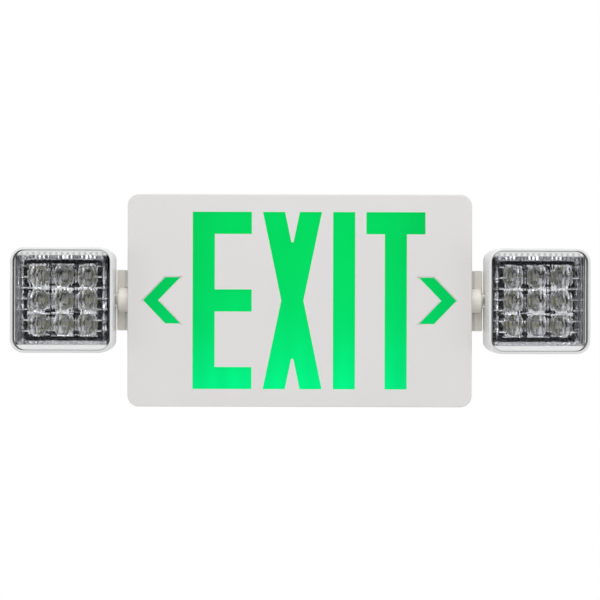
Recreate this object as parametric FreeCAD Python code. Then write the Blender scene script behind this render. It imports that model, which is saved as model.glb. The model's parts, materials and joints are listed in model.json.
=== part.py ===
import FreeCAD, Part
import os

from FreeCAD import Vector

# Wall-mounted emergency exit light: an internally lit stencil legend between two lamp heads that tilt and turn.
# +X runs to the viewer's right, +Z up, and the face looks along -Y. The wall is the plane y = 0, and the
# origin is the middle of the mounting plate's rear face.

# Driving sizes, in millimetres

# Face plate and housing
total_depth = 52.0        # wall to the front of the face plate
face_width = 296.0
face_height = 182.8
face_corner = 10.0
face_wall = 2.5
face_edge = 1.0           # rounding of the front edge
face_overhang = 1.5       # the face stands this far past the frame all round
frame_wall = 2.2
back_wall = 3.0
clip_gap = 0.25           # between mouldings that clip into each other
rim_wall = 1.6            # locating rim behind the face plate
rim_depth = 6.0
hook_width = 12.0
hook_reach = 4.0          # how far a hook runs on past the rim
hook_barb = 0.9
hook_spacing = 98.7
lug_reach = 3.0           # lugs that stop the back plate
lug_thick = 2.5
lug_length = 14.0
lug_inset = 15.6          # middle of an end lug to the frame's inner side
inner_lug_place = 49.3    # middle of an inner lug, from the sign's middle

# Legend
letter_height = 152.4
letter_width = 50.8
stroke = 19.05
letter_gap = 9.525
notch_round = 1.1         # the sharp points left between the strokes of the X
chevron_height = 41.6
chevron_run = 20.0        # tip to outer corner, along X
chevron_band = 15.5
chevron_gap = 8.4         # word to the chevron's pointed ends
knockout_ledge = 0.9
knockout_depth = 1.0

# Light box behind the legend
diffuser_thick = 1.5
tray_depth = 17.0
tray_wall = 1.5
tray_clearance = 1.0      # tray to the ends of the arms' necks
strip_width = 9.0         # legend lamp strip
strip_thick = 1.6
strip_inset = 16.0        # end of the strip to the end of the tray
chip_count = 14
chip_length = 3.5
chip_width = 2.8
chip_height = 1.2

# Mounting features of the back plate
wire_entry_bore = 22.2
box_screw_spacing = 88.9
box_screw_hole = 4.8
keyhole_spacing = 203.2
keyhole_head = 9.0
keyhole_slot = 4.8
keyhole_travel = 8.0
keyhole_height = 62.0

# Main board and what stands on it
board_thick = 1.6
board_width = 98.0
board_height = 96.0
board_inset = 11.3        # frame's inner side to the board
board_stand_off = 7.0
post_radius = 3.5
post_inset = 6.0
core_width = 36.0
core_height = 30.0
core_depth = 13.0
core_leg = 6.0
core_window = 7.0         # opening between the legs for the winding
coil_bulge = 2.5
capacitor_radius = 5.0
capacitor_length = 14.0
capacitor_pitch = 14.0
capacitor_edge = 0.6
relay_width = 20.0
relay_height = 15.0
relay_depth = 12.0
terminal_pitch = 7.5
terminal_count = 3
terminal_depth = 12.0
terminal_hole = 3.2
terminal_inset = 1.0      # board edge to block
wire_height = 4.0         # board to the middle of the wire mouths
screw_well = 3.6

# Battery
cell_radius = 7.2
cell_pitch = 14.0
cell_count = 4
cell_length = 50.0
sleeve_dip = 1.4          # how far the sleeve sinks between the cells
strap_inset = 20.65       # frame's inner side to the end of the strap
strap_thick = 1.2
strap_width = 12.0
strap_ear = 10.0

# Machine screws, by shank radius
screw_gap = 0.1           # shank to hole
drive_slot = 0.7
board_screw = 1.3
board_screw_depth = 5.0
bracket_screw = 1.6
bracket_screw_depth = 5.0

# Test button, its switch and the status lamp, in the underside
control_y = -20.0         # distance of their centre line from the wall
button_inset = 82.3       # frame's inner side to the middle of the button
button_radius = 4.0
button_proud = 2.0
button_flange = 1.6       # flange past the cap
button_flange_thick = 1.2
button_travel = 1.3
button_stem = 2.7         # radius
stem_height = 1.6
button_edge = 0.7
button_gap = 0.3
switch_side = 7.0
switch_height = 3.6
plunger_radius = 1.7
plunger_bite = 1.0        # how far the plunger reaches into the switch at rest
lamp_spacing = 20.0       # button to status lamp
lamp_radius = 2.5
lamp_collar = 0.5
lamp_proud = 1.5
control_board_span = 46.0
control_board_depth = 13.0
control_post_inset = 4.0
control_post_radius = 3.0

# Side arms
axis_from_wall = 36.0
pad_reach = 5.5           # frame side to the seam
block_reach = 6.5         # seam to the block's end
block_height = 52.4
block_back = 8.0          # wall to the block's rear
block_edge = 1.2
block_skin = 2.2          # wall left round the block's coring
barrel_radius = 10.75
barrel_setback = 1.2      # barrel end to block end
barrel_round = 1.6
bearing_gap = 0.05        # radial, neck in its bore
neck_radius = 7.0
tail_radius = 5.0         # the neck's thinner inner end
tail_reach = 3.2          # past the housing's inner face
shoulder_depth = 3.5      # frame side to the neck's shoulder
lead_radius = 2.6
clip_thick = 1.0
clip_radius = 7.4
clip_groove = 0.9
wave_thick = 0.8
bracket_screw_height = 18.0

# Lamp heads
head_gap = 0.6            # block end to the head's side
head_width = 87.5
head_height = 90.0
head_depth = 42.0
head_corner = 12.0
head_wall = 2.2
rim_round = 1.5
knuckle_radius = 10.0     # the rear inner edge is round about the swivel pin
heel_radius = 26.0        # rear outer edge
brow_radius = 20.0        # rear upper and lower edges
right_head_turn = 3.0     # degrees outward at rest

# Swivel joint inside each head
eye_half = 4.5            # half the thickness of the neck's eye
eye_radius = 7.2
blade_half = 6.0
swivel_gap = 0.3
disc_thick = 0.5          # friction discs
cheek_thick = 3.5
cheek_reach = 8.0
slot_side = 1.6           # slot past the blade, on the front
pin_radius = 2.0
pin_head_radius = 3.8
pin_head_height = 2.4
nut_flats = 7.0
nut_height = 3.2
pin_tail = 0.8            # past the nut

# Optics of a head
lens_setback = 0.8        # rim to lens
release_gap = 1.4         # more room beside the lens away from the neck, to prise it out
lens_panel = 1.8
lens_skirt = 1.5
flute_pitch = 4.9
flute_radius = 6.5
flute_depth = 0.45
flute_stop = 1.5          # skirt to the ends of the flutes
prism_pitch = 9.16
prism_width = 1.1
prism_depth = 0.5
prism_count = 9
prism_shift = 1.6
lens_depth = 10.7         # front of the lens to its seat
ledge_thick = 2.0
ledge_reach = 4.2
reflector_gap = 0.2
reflector_setback = 5.4   # lens panel to the reflector's lip
pocket_depth = 4.3
pocket_slope = 3.6
pocket_lip = 2.7
floor_thick = 1.5
cup_pitch = 20.7
cup_count = 3             # along each side
cup_mouth = 9.25
cup_throat = 2.9
cup_depth = 9.5
cup_wall = 0.8
diode_side = 3.4
diode_height = 0.8
window_radius = 1.3       # the round window over a diode's phosphor
window_height = 0.3
lamp_board_margin = 2.0
lamp_boss_radius = 2.4
lamp_screw = 0.9
lamp_screw_depth = 4.0

# Places worked out from the sizes above

face_front = -total_depth
face_back = face_front + face_wall
frame_width = face_width - 2 * face_overhang
frame_height = face_height - 2 * face_overhang
frame_corner = face_corner - face_overhang
inner_width = frame_width - 2 * frame_wall
inner_height = frame_height - 2 * frame_wall
inner_corner = frame_corner - frame_wall
rim_width = inner_width - 2 * clip_gap
rim_height = inner_height - 2 * clip_gap
rim_corner = inner_corner - clip_gap
box_width = rim_width - 2 * rim_wall - 2 * clip_gap
box_height = rim_height - 2 * rim_wall - 2 * clip_gap
box_corner = rim_corner - rim_wall - clip_gap
tray_width = inner_width - 2 * tail_reach - 2 * tray_clearance
diffuser_back = face_back + diffuser_thick
tray_back = diffuser_back + tray_depth
board_back = -back_wall - board_stand_off
board_front = board_back - board_thick
frame_side = frame_width / 2
frame_inside = inner_width / 2
board_centre_x = board_inset + board_width / 2 - frame_inside
battery_half = cell_pitch * (cell_count - 1) / 2 + cell_radius + clip_gap
battery_centre_x = frame_inside - strap_inset - battery_half - strap_thick - strap_ear
button_x = frame_inside - button_inset
lamp_x = button_x - lamp_spacing
axis_y = -axis_from_wall
seam_x = frame_side + pad_reach
block_end = seam_x + block_reach
shoulder_x = frame_side + shoulder_depth
head_inner = block_end + head_gap
head_outer = head_inner + head_width
head_centre = (head_inner + head_outer) / 2
pin_x = head_inner + knuckle_radius
head_back = axis_y + knuckle_radius
head_front = head_back - head_depth
cheek_half = eye_half + swivel_gap + disc_thick
lens_front = head_front + lens_setback
seat_y = lens_front + lens_depth
lens_inset = head_wall + clip_gap
lens_width = head_width - release_gap
lens_centre = head_centre - release_gap / 2
lens_half_inside = lens_width / 2 - lens_inset - lens_skirt
reflector_inset = lens_inset + lens_skirt + reflector_gap
lip_y = lens_front + lens_panel + reflector_setback
floor_y = lip_y + pocket_depth
throat_y = floor_y + cup_depth
lamp_board_back = throat_y + board_thick
control_floor = -frame_height / 2 + frame_wall


def box(x0, x1, y0, y1, z0, z1):
    return Part.makeBox(x1 - x0, y1 - y0, z1 - z0, Vector(x0, y0, z0))


def rod_x(radius, x0, x1, y, z):
    return Part.makeCylinder(radius, x1 - x0, Vector(x0, y, z), Vector(1, 0, 0))


def rod_y(radius, x, y0, y1, z):
    return Part.makeCylinder(radius, y1 - y0, Vector(x, y0, z), Vector(0, 1, 0))


def rod_z(radius, x, y, z0, z1):
    return Part.makeCylinder(radius, z1 - z0, Vector(x, y, z0))


def edges_where(shape, direction, keep):
    """Straight edges along a direction whose midpoint passes the test."""
    chosen = []
    for edge in shape.Edges:
        ends = [vertex.Point for vertex in edge.Vertexes]
        if len(ends) != 2 or edge.Curve.TypeId != "Part::GeomLine":
            continue
        run = (ends[1] - ends[0]).normalize()
        if abs(run.dot(direction)) > 0.999 and keep((ends[0] + ends[1]) * 0.5):
            chosen.append(edge)
    return chosen


def slab(width, height, corner, y0, y1, centre_x=0.0):
    """A plate across Y with its four corners rounded."""
    left = centre_x - width / 2
    plate = box(left, left + width, y0, y1, -height / 2, height / 2)
    return plate.makeFillet(corner, edges_where(plate, Vector(0, 1, 0), lambda point: True))


def soften_front(plate, radius, y):
    """Round the edge round a plate's front face."""
    front = [edge for edge in plate.Edges if abs(edge.BoundBox.YMin - y) < 1e-6 and edge.BoundBox.YLength < 1e-6]
    return plate.makeFillet(radius, front)


def outline(points, y0, y1):
    """A flat figure given by its (x, z) corners, carried along Y."""
    corners = [Vector(x, y0, z) for x, z in points]
    face = Part.Face(Part.makePolygon(corners + corners[:1]))
    return face.extrude(Vector(0, y1 - y0, 0))


def save(name, shape):
    shape.exportStep("parts/" + name + ".step")


def joined(pieces):
    return pieces[0].multiFuse(pieces[1:]).removeSplitter()


def mirrored(shape):
    return shape.mirror(Vector(0, 0, 0), Vector(1, 0, 0))


def turned(shape, degrees):
    """Turn a right-hand piece outward about its swivel pin."""
    return shape.rotated(Vector(pin_x, axis_y, 0), Vector(0, 0, 1), degrees)


# Legend openings

def letter_e(left):
    top = letter_height / 2
    y0, y1 = face_front - 1, face_back + 1
    pieces = [box(left, left + stroke, y0, y1, -top, top)]
    for middle in (-top + stroke / 2, 0, top - stroke / 2):
        pieces.append(box(left, left + letter_width, y0, y1, middle - stroke / 2, middle + stroke / 2))
    return joined(pieces)


def letter_x(left):
    """Two crossed strokes, with the four points between them slightly blunt."""
    top = letter_height / 2
    right = left + letter_width
    y0, y1 = face_front - 1, face_back + 1
    rising = outline([(left, -top), (left + stroke, -top), (right, top), (right - stroke, top)], y0, y1)
    falling = outline([(left, top), (left + stroke, top), (right, -top), (right - stroke, -top)], y0, y1)
    cross = joined([rising, falling])
    middle = (left + right) / 2
    points = edges_where(cross, Vector(0, 1, 0), lambda point: abs(point.x - middle) < 0.01)
    return cross.makeFillet(notch_round, points)


def letter_i(left):
    top = letter_height / 2
    return box(left, left + stroke, face_front - 1, face_back + 1, -top, top)


def letter_t(left):
    top = letter_height / 2
    stem = left + (letter_width - stroke) / 2
    bar = box(left, left + letter_width, face_front - 1, face_back + 1, top - stroke, top)
    return joined([bar, letter_i(stem)])


def word():
    """The four openings, with the stems at the ends as far left as right of the middle."""
    overhang = (letter_width - stroke) / 2
    span = 3 * letter_width + stroke + 3 * letter_gap - overhang
    left = -span / 2
    step = letter_width + letter_gap
    letters = [letter_e(left), letter_x(left + step), letter_i(left + 2 * step)]
    letters.append(letter_t(left + 2 * step + stroke + letter_gap))
    return letters, span / 2


def chevron(inner_x):
    """A right-hand arrow knock-out: a shallow recess with a slightly smaller opening through it."""
    half = chevron_height / 2
    points = [
        (inner_x, half),
        (inner_x + chevron_band, half),
        (inner_x + chevron_band + chevron_run, 0),
        (inner_x + chevron_band, -half),
        (inner_x, -half),
        (inner_x + chevron_run, 0),
    ]
    recess = outline(points, face_front - 1, face_front + knockout_depth)
    corners = [Vector(x, face_front, z) for x, z in points]
    face = Part.Face(Part.makePolygon(corners + corners[:1]))
    through = face.makeOffset2D(-knockout_ledge, join=2).extrude(Vector(0, face_wall + 1, 0))
    return recess.fuse(through)


# Face plate, light box and housing

def hook_places():
    """Middles of the snap hooks, along X, on the upper and lower edges."""
    return (-hook_spacing, 0, hook_spacing)


def face_plate():
    plate = soften_front(slab(face_width, face_height, face_corner, face_front, face_back), face_edge, face_front)
    rim_back = face_back + rim_depth
    rim = slab(rim_width, rim_height, rim_corner, face_back, rim_back)
    hollow = slab(rim_width - 2 * rim_wall, rim_height - 2 * rim_wall, rim_corner - rim_wall, face_back, rim_back)
    pieces = [plate, rim.cut(hollow)]
    for x in hook_places():
        pieces.append(snap_hook(x))
        pieces.append(snap_hook(x).mirror(Vector(0, 0, 0), Vector(0, 0, 1)))
    letters, word_half = word()
    arrow = chevron(word_half + chevron_gap)
    return joined(pieces).cut(letters + [arrow, mirrored(arrow)])


def snap_hook(x):
    """A tongue on the upper rim with a wedge that springs into a slot in the frame."""
    outer = rim_height / 2
    start = face_back + rim_depth
    end = start + hook_reach
    tongue = box(x - hook_width / 2, x + hook_width / 2, start, end, outer - rim_wall, outer)
    wedge = Part.Face(Part.makePolygon([
        Vector(x - hook_width / 2, end - hook_reach / 2, outer),
        Vector(x - hook_width / 2, end - hook_reach / 2, outer + hook_barb),
        Vector(x - hook_width / 2, end, outer),
        Vector(x - hook_width / 2, end - hook_reach / 2, outer),
    ]))
    return tongue.fuse(wedge.extrude(Vector(hook_width, 0, 0)))


def legend_diffuser():
    return slab(box_width, box_height, box_corner, face_back, diffuser_back)


def light_tray():
    outer = slab(tray_width, box_height, box_corner, diffuser_back, tray_back)
    inner_edge = box_corner - tray_wall
    inner = slab(tray_width - 2 * tray_wall, box_height - 2 * tray_wall, inner_edge, diffuser_back, tray_back - tray_wall)
    return outer.cut(inner)


def strip_z():
    """Upper face of the lamp strip, which lies on the tray's lower wall."""
    return -box_height / 2 + tray_wall + strip_thick


def strip_y():
    return (diffuser_back + tray_back - tray_wall) / 2


def legend_strip():
    half = tray_width / 2 - strip_inset
    y = strip_y()
    return box(-half, half, y - strip_width / 2, y + strip_width / 2, strip_z() - strip_thick, strip_z())


def legend_chips():
    """Lamp chips spaced evenly along the strip."""
    reach = tray_width / 2 - strip_inset - chip_length
    chips = []
    for index in range(chip_count):
        x = -reach + 2 * reach * index / (chip_count - 1)
        chips.append(box(x - chip_length / 2, x + chip_length / 2, strip_y() - chip_width / 2,
                         strip_y() + chip_width / 2, strip_z(), strip_z() + chip_height))
    return Part.makeCompound(chips)


def lugs(y0, y1):
    """Stops inside the upper and lower walls of the frame, clear of the snap hooks."""
    pieces = []
    end = frame_inside - lug_inset
    for x in (-end, -inner_lug_place, inner_lug_place, end):
        for side in (-1, 1):
            wall_z = side * (inner_height / 2 + frame_wall / 2)
            tip_z = side * (inner_height / 2 - lug_reach)
            low, high = min(wall_z, tip_z), max(wall_z, tip_z)
            pieces.append(box(x - lug_length / 2, x + lug_length / 2, y0, y1, low, high))
    return pieces


def frame_pad():
    """The raised pad on the frame's right side that the arm bracket seats on."""
    block = box(frame_side - frame_wall / 2, seam_x, axis_y, -block_back, -block_height / 2, block_height / 2)
    block = block.makeFillet(block_edge, edges_where(block, Vector(1, 0, 0), lambda point: True))
    return block.cut(rod_x(barrel_radius + clip_gap, frame_side, seam_x + 1, axis_y, 0))


def side_holes():
    """The neck's tail and two bracket screws pass through the frame's right side."""
    tools = [rod_x(tail_radius + 2 * clip_gap, frame_inside - 1, frame_side + 1, axis_y, 0)]
    for z in (-bracket_screw_height, bracket_screw_height):
        tools.append(rod_x(bracket_screw + screw_gap, frame_inside - 1, seam_x + 1, bracket_screw_y(), z))
    return tools


def bracket_screw_y():
    return (axis_y - block_back) / 2


def control_posts():
    """Two posts on the frame's floor carry the small board over the test button."""
    posts = []
    holes = []
    for x in control_post_places():
        posts.append(rod_z(control_post_radius, x, control_y, control_floor - frame_wall / 2, control_board_z()))
        holes.append(rod_z(board_screw + screw_gap, x, control_y, control_board_z() - board_screw_depth, control_board_z()))
    return posts, holes


def control_middle():
    return (button_x + lamp_x) / 2


def control_post_places():
    half = control_board_span / 2 - control_post_inset
    return (control_middle() - half, control_middle() + half)


def flange_top():
    """Upper face of the button's flange at rest."""
    return control_floor + button_gap + button_flange_thick


def switch_mouth():
    """Lower face of the switch: the button's stem stops just short of it at full travel."""
    return flange_top() + stem_height + button_travel + button_gap


def control_board_z():
    return switch_mouth() + switch_height


def housing_frame():
    outer = slab(frame_width, frame_height, frame_corner, face_back, 0)
    shell = outer.cut(slab(inner_width, inner_height, inner_corner, face_back, 0))
    posts, post_holes = control_posts()
    pieces = [shell, frame_pad(), mirrored(frame_pad())] + posts
    pieces += lugs(tray_back, tray_back + lug_thick)
    pieces += lugs(-back_wall - lug_thick, -back_wall)
    tools = side_holes() + [mirrored(tool) for tool in side_holes()] + post_holes
    tools.append(rod_z(button_radius + button_gap, button_x, control_y, -frame_height / 2 - 1, control_floor + 1))
    tools.append(rod_z(lamp_radius + button_gap, lamp_x, control_y, -frame_height / 2 - 1, control_floor + 1))
    for x in hook_places():
        tools += hook_slots(x)
    return joined(pieces).cut(tools)


def hook_slots(x):
    """Blind slots inside the upper and lower walls that the face plate's hooks spring into."""
    start = face_back + rim_depth + hook_reach / 2 - clip_gap
    end = face_back + rim_depth + hook_reach + clip_gap
    half = hook_width / 2 + clip_gap
    depth = hook_barb + clip_gap
    upper = box(x - half, x + half, start, end, inner_height / 2 - 1, inner_height / 2 - clip_gap + depth)
    return [upper, upper.mirror(Vector(0, 0, 0), Vector(0, 0, 1))]


def board_posts():
    """Middles of the four posts under the main board."""
    dx = board_width / 2 - post_inset
    dz = board_height / 2 - post_inset
    return [(board_centre_x + sx * dx, sz * dz) for sx in (-1, 1) for sz in (-1, 1)]


def strap_posts():
    reach = battery_half + strap_thick + strap_ear / 2
    return [(battery_centre_x - reach, 0), (battery_centre_x + reach, 0)]


def keyhole(x):
    head = rod_y(keyhole_head / 2, x, -back_wall - 1, 1, keyhole_height)
    slot = box(x - keyhole_slot / 2, x + keyhole_slot / 2, -back_wall - 1, 1, keyhole_height, keyhole_height + keyhole_travel)
    end = rod_y(keyhole_slot / 2, x, -back_wall - 1, 1, keyhole_height + keyhole_travel)
    return joined([head, slot, end])


def back_plate():
    plate = slab(inner_width - 2 * clip_gap, inner_height - 2 * clip_gap, inner_corner - clip_gap, -back_wall, 0)
    pieces = [plate]
    tools = []
    for x, z in board_posts():
        pieces.append(rod_y(post_radius, x, board_back, -back_wall, z))
        tools.append(rod_y(board_screw + screw_gap, x, board_back, board_back + board_screw_depth, z))
    for x, z in strap_posts():
        pieces.append(rod_y(post_radius, x, -back_wall - board_screw_depth, -back_wall, z))
        tools.append(rod_y(board_screw + screw_gap, x, -back_wall - board_screw_depth, -back_wall, z))
    pieces += battery_stops()
    tools.append(rod_y(wire_entry_bore / 2, 0, -back_wall - 1, 1, 0))
    for z in (-box_screw_spacing / 2, box_screw_spacing / 2):
        tools.append(rod_y(box_screw_hole / 2, 0, -back_wall - 1, 1, z))
    for x in (-keyhole_spacing / 2, keyhole_spacing / 2):
        tools.append(keyhole(x))
    return joined(pieces).cut(tools)


def battery_stops():
    """Low ribs above and below the battery."""
    half_width = cell_pitch * (cell_count - 1) / 2
    near = cell_length / 2 + clip_gap
    upper = box(battery_centre_x - half_width, battery_centre_x + half_width, -back_wall - cell_radius, -back_wall,
                near, near + rim_wall)
    return [upper, upper.mirror(Vector(0, 0, 0), Vector(0, 0, 1))]


# Electronics

def main_board():
    half_width = board_width / 2
    half_height = board_height / 2
    board = box(board_centre_x - half_width, board_centre_x + half_width, board_front, board_back, -half_height, half_height)
    return board.cut([rod_y(board_screw + screw_gap, x, board_front, board_back, z) for x, z in board_posts()])


def board_screws():
    return Part.makeCompound([screw_y(x, board_front, z) for x, z in board_posts()])


def screw_y(x, y, z):
    """A pan-head screw driven towards the wall, seated at y."""
    head = rod_y(2 * board_screw, x, y - board_screw, y, z)
    shank = rod_y(board_screw, x, y, y + board_screw_depth - screw_gap, z)
    half = drive_slot / 2
    slot = box(x - half, x + half, y - board_screw, y - board_screw / 2, z - board_screw, z + board_screw)
    return head.fuse(shank).cut([slot, slot.rotated(Vector(x, y, z), Vector(0, 1, 0), 90)])


def core_left():
    return board_centre_x - board_width / 2 + post_inset


def transformer_core():
    left = core_left()
    top = core_height / 2
    core = box(left, left + core_width, board_front - core_depth, board_front, -top, top)
    windows = []
    for side in (-1, 1):
        inner = left + core_width / 2 + side * core_leg
        outer = inner + side * core_window
        low, high = min(inner, outer), max(inner, outer)
        windows.append(box(low, high, board_front - core_depth, board_front, -top + core_leg, top - core_leg))
    return core.cut(windows)


def transformer_coil():
    """The winding round the core's middle leg."""
    middle = core_left() + core_width / 2
    half = core_leg + core_window - clip_gap
    top = core_height / 2 - core_leg - clip_gap
    front = board_front - core_depth - coil_bulge
    winding = box(middle - half, middle + half, front, board_front, -top, top)
    return winding.cut(box(middle - core_leg, middle + core_leg, board_front - core_depth, board_front, -top, top))


def capacitors():
    x = board_centre_x + capacitor_radius
    cans = []
    for z in (-capacitor_pitch / 2, capacitor_pitch / 2):
        can = rod_y(capacitor_radius, x, board_front - capacitor_length, board_front, z)
        top = [edge for edge in can.Edges if edge.BoundBox.YMax < board_front - capacitor_length + 1e-6]
        cans.append(can.makeFillet(capacitor_edge, top))
    return Part.makeCompound(cans)


def transfer_relay():
    right = board_centre_x + board_width / 2 - post_inset
    return box(right - relay_width, right, board_front - relay_depth, board_front, -relay_height / 2, relay_height / 2)


def terminal_block():
    """Screw terminals for the incoming supply, with a wire mouth and a screw well for each."""
    middle = board_centre_x
    half = terminal_count * terminal_pitch / 2
    low = -board_height / 2 + terminal_inset
    high = low + terminal_depth
    block = box(middle - half, middle + half, board_front - terminal_depth, board_front, low, high)
    tools = []
    for index in range(terminal_count):
        x = middle - half + terminal_pitch * (index + 0.5)
        front = board_front - terminal_depth
        tools.append(rod_z(terminal_hole / 2, x, board_front - wire_height, low, low + terminal_depth / 2))
        tools.append(rod_y(terminal_hole / 2, x, front, front + screw_well, (low + high) / 2))
    return block.cut(tools)


def battery_pack():
    """Cells side by side in one shrunk sleeve."""
    half = cell_pitch * (cell_count - 1) / 2
    y = -back_wall - cell_radius
    top = cell_length / 2
    low, high = y - cell_radius + sleeve_dip, y + cell_radius - sleeve_dip
    pieces = [box(battery_centre_x - half, battery_centre_x + half, low, high, -top, top)]
    for index in range(cell_count):
        pieces.append(rod_z(cell_radius, battery_centre_x - half + index * cell_pitch, y, -top, top))
    return joined(pieces)


def battery_strap():
    """A bent metal strap over the battery, with an ear on a post at each end."""
    half = battery_half
    front = -back_wall - 2 * cell_radius - clip_gap
    foot = -back_wall - board_screw_depth
    z = strap_width / 2
    x = battery_centre_x
    bridge = box(x - half - strap_thick, x + half + strap_thick, front - strap_thick, foot, -z, z)
    bridge = bridge.cut(box(x - half, x + half, front, foot, -z, z))
    outer = half + strap_thick + strap_ear
    ears = []
    for low, high in ((x - outer, x - half), (x + half, x + outer)):
        ears.append(box(low, high, foot - strap_thick, foot, -z, z))
    holes = [rod_y(board_screw + screw_gap, px, foot - strap_thick, foot, pz) for px, pz in strap_posts()]
    return joined([bridge] + ears).cut(holes)


def strap_screws():
    seat = -back_wall - board_screw_depth - strap_thick
    return Part.makeCompound([screw_y(x, seat, z) for x, z in strap_posts()])


# Test button and status lamp

def control_board():
    half = control_board_span / 2
    z = control_board_z()
    deep = control_board_depth / 2
    board = box(control_middle() - half, control_middle() + half, control_y - deep, control_y + deep, z, z + board_thick)
    return board.cut([rod_z(board_screw + screw_gap, x, control_y, z, z + board_thick) for x in control_post_places()])


def control_screws():
    seat = control_board_z() + board_thick
    screws = []
    for x in control_post_places():
        head = rod_z(2 * board_screw, x, control_y, seat, seat + board_screw)
        shank = rod_z(board_screw, x, control_y, seat - board_screw_depth, seat)
        screws.append(head.fuse(shank))
    return Part.makeCompound(screws)


def test_button():
    """A cap through the underside, with a flange that keeps it in and a stem up to the switch."""
    bottom = -frame_height / 2 - button_proud
    flange_low = control_floor + button_gap
    cap = rod_z(button_radius, button_x, control_y, bottom, flange_low)
    lower = [edge for edge in cap.Edges if edge.BoundBox.ZMax < bottom + 1e-6]
    cap = cap.makeFillet(button_edge, lower)
    flange = rod_z(button_radius + button_flange, button_x, control_y, flange_low, flange_top())
    stem = rod_z(button_stem, button_x, control_y, flange_top(), flange_top() + stem_height)
    return joined([cap, flange, stem])


def switch_plunger():
    return rod_z(plunger_radius, button_x, control_y, flange_top() + stem_height, switch_mouth() + plunger_bite)


def test_switch():
    half = switch_side / 2
    mouth = switch_mouth()
    body = box(button_x - half, button_x + half, control_y - half, control_y + half, mouth, control_board_z())
    depth = plunger_bite + button_travel + button_gap
    return body.cut(rod_z(plunger_radius + button_gap, button_x, control_y, mouth, mouth + depth))


def status_lamp():
    """A round lamp on two legs, its dome just out of the underside."""
    tip = -frame_height / 2 - lamp_proud
    collar = control_floor + 2 * lamp_radius
    dome = Part.makeSphere(lamp_radius, Vector(lamp_x, control_y, tip + lamp_radius))
    body = rod_z(lamp_radius, lamp_x, control_y, tip + lamp_radius, collar)
    base = rod_z(lamp_radius + lamp_collar, lamp_x, control_y, collar, collar + lamp_radius / 2)
    pieces = [dome, body, base]
    for side in (-1, 1):
        x = lamp_x + side * lamp_radius / 2
        leg = lamp_collar / 2
        pieces.append(box(x - leg, x + leg, control_y - leg, control_y + leg, collar, control_board_z()))
    return joined(pieces)


# Side arm, right hand: bracket, neck and what holds the neck in

def arm_bracket():
    """A block on the pad, with a barrel on its front that houses the neck and is notched into the pad."""
    block = box(seam_x, block_end, axis_y, -block_back, -block_height / 2, block_height / 2)
    block = block.makeFillet(block_edge, edges_where(block, Vector(0, 1, 0), lambda point: point.x > seam_x + 1))
    block = block.cut(block_coring())
    barrel_end = block_end - barrel_setback
    barrel = rod_x(barrel_radius, frame_side, barrel_end, axis_y, 0)
    rim = [edge for edge in barrel.Edges if edge.BoundBox.XMin > barrel_end - 1e-6]
    barrel = barrel.makeFillet(barrel_round, rim)
    core = rod_x(barrel_radius, seam_x, block_end, axis_y, 0)
    core = core.common(box(seam_x, block_end, axis_y, -block_back, -block_height, block_height))
    tools = [rod_x(neck_radius + bearing_gap, shoulder_x, block_end + 1, axis_y, 0)]
    tools.append(rod_x(tail_radius + bearing_gap, frame_side - 1, shoulder_x, axis_y, 0))
    for z in (-bracket_screw_height, bracket_screw_height):
        tools.append(rod_x(bracket_screw + screw_gap, seam_x, seam_x + bracket_screw_depth, bracket_screw_y(), z))
    return joined([block, barrel, core] + screw_bosses()).cut(tools)


def block_coring():
    """A pocket in the block's hidden face, so that its walls are even."""
    half = block_height / 2 - block_skin
    return box(seam_x, block_end - block_skin, axis_y + block_skin, -block_back - block_skin, -half, half)


def screw_bosses():
    bosses = []
    for z in (-bracket_screw_height, bracket_screw_height):
        bosses.append(rod_x(2 * bracket_screw, seam_x, block_end - block_skin / 2, bracket_screw_y(), z))
    return bosses


def bracket_screws():
    screws = []
    for z in (-bracket_screw_height, bracket_screw_height):
        y = bracket_screw_y()
        head = rod_x(2 * bracket_screw, frame_inside - bracket_screw, frame_inside, y, z)
        shank = rod_x(bracket_screw, frame_inside, seam_x + bracket_screw_depth - screw_gap, y, z)
        screws.append(head.fuse(shank))
    return Part.makeCompound(screws)


def arm_neck():
    """A stepped hollow spindle: tail in the housing, journal in the barrel, flat eye inside the head."""
    tail_end = frame_inside - tail_reach
    tail = rod_x(tail_radius, tail_end, shoulder_x, axis_y, 0)
    journal = rod_x(neck_radius, shoulder_x, head_inner - head_gap, axis_y, 0)
    blade = box(head_inner - head_gap - 1, pin_x, axis_y - blade_half, axis_y + blade_half, -eye_half, eye_half)
    blade = blade.common(rod_x(neck_radius, shoulder_x, pin_x, axis_y, 0))
    eye = rod_z(eye_radius, pin_x, axis_y, -eye_half, eye_half)
    groove_x = clip_groove_x()
    groove_end = groove_x + clip_thick + 2 * bearing_gap
    groove = rod_x(tail_radius + 1, groove_x, groove_end, axis_y, 0)
    groove = groove.cut(rod_x(tail_radius - clip_groove, groove_x, groove_end, axis_y, 0))
    tools = [groove, rod_z(pin_radius + bearing_gap, pin_x, axis_y, -eye_half, eye_half)]
    tools.append(rod_x(lead_radius, tail_end, head_inner + head_wall, axis_y, 0))
    tools.append(box(head_inner, head_inner + head_wall, axis_y - eye_radius, axis_y, -lead_radius, lead_radius))
    return joined([tail, journal, blade, eye]).cut(tools)


def clip_groove_x():
    """The retaining clip's inner side: clip and wave washer fill the space up to the frame's inner face."""
    return frame_inside - wave_thick - clip_thick - 2 * bearing_gap


def retaining_clip():
    """An open ring sprung into the tail's groove."""
    x = clip_groove_x() + bearing_gap
    ring = rod_x(clip_radius, x, x + clip_thick, axis_y, 0)
    seat = rod_x(tail_radius - clip_groove + bearing_gap, x, x + clip_thick, axis_y, 0)
    mouth = box(x, x + clip_thick, axis_y - tail_radius / 2, axis_y + tail_radius / 2, -clip_radius, 0)
    return ring.cut([seat, mouth])


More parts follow.
